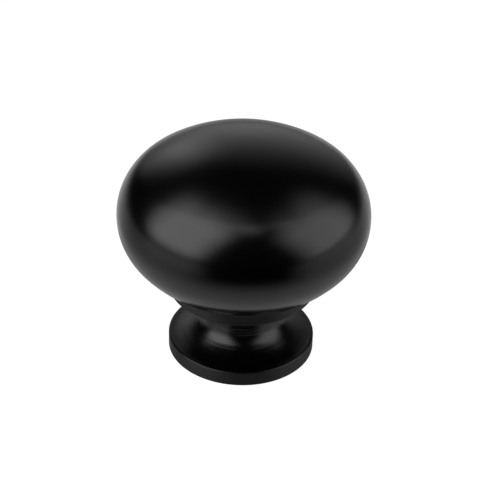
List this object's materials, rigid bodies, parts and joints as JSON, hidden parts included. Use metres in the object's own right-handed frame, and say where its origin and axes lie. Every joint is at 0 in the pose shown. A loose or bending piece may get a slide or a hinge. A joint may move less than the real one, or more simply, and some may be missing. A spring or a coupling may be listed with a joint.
{
  "type": "cabinet knob",
  "caption": "Round mushroom knob on a waisted neck and disc foot, fixed by a screw from behind, to pull a cabinet door or drawer open.",
  "frame": {"origin": "centre of the mounting face, at the middle of the screw hole", "axes": "+Z along the knob's axis, away from the door, towards the crown"},
  "size_m": [0.032, 0.032, 0.0304],
  "materials": {
    "satin_black": "satin black coating over zinc alloy"
  },
  "bodies": {
    "root": {"knob": "satin_black"}
  },
  "joints": []
}
